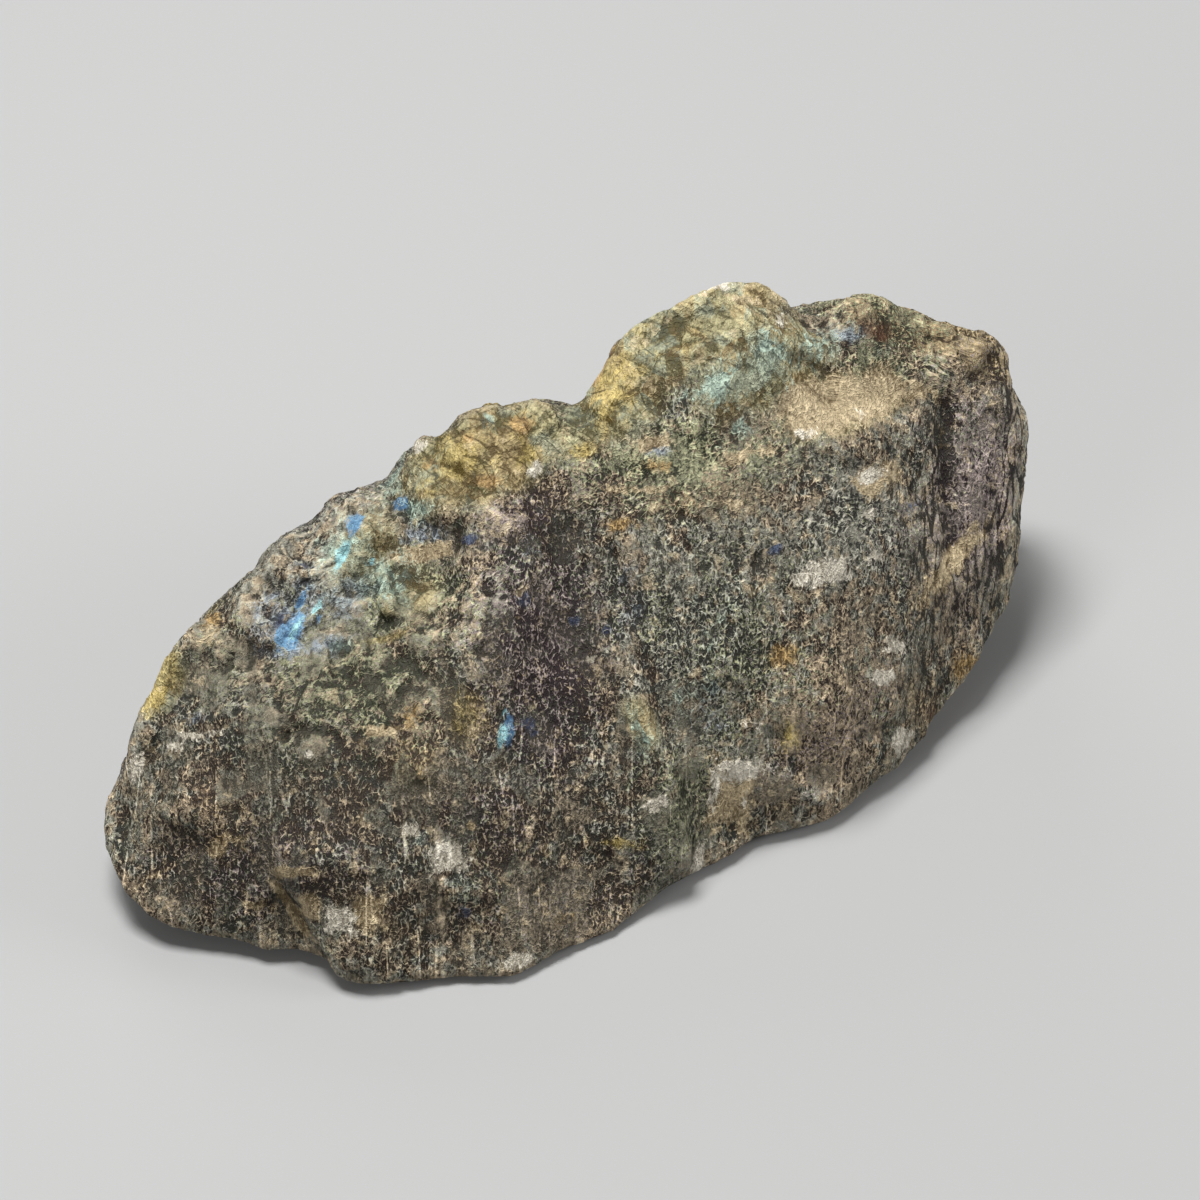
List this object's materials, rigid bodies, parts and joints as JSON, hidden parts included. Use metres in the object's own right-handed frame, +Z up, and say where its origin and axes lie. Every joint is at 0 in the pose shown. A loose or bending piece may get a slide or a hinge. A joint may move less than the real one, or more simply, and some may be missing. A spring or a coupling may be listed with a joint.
{
  "type": "rough labradorite chunk",
  "caption": "Rough, broken lump of labradorite with a jagged crest, a lumpy front face and cleavage ledges behind, lying on one flat side.",
  "frame": {"origin": "middle of the bounding box's underside, on the flat sole", "axes": "+X along the stone's length towards its taller, square-ended half; +Y from the lumpy front face to the steep broken back; +Z up from the sole"},
  "size_m": [0.1264, 0.0678, 0.0524],
  "materials": {
    "labradorite": "rough broken feldspar, grey-brown with cream flecks, purple-grey bands and blue, teal and gold flashes on its cleavages"
  },
  "bodies": {
    "root": {"labradorite_chunk": "labradorite"}
  },
  "joints": []
}
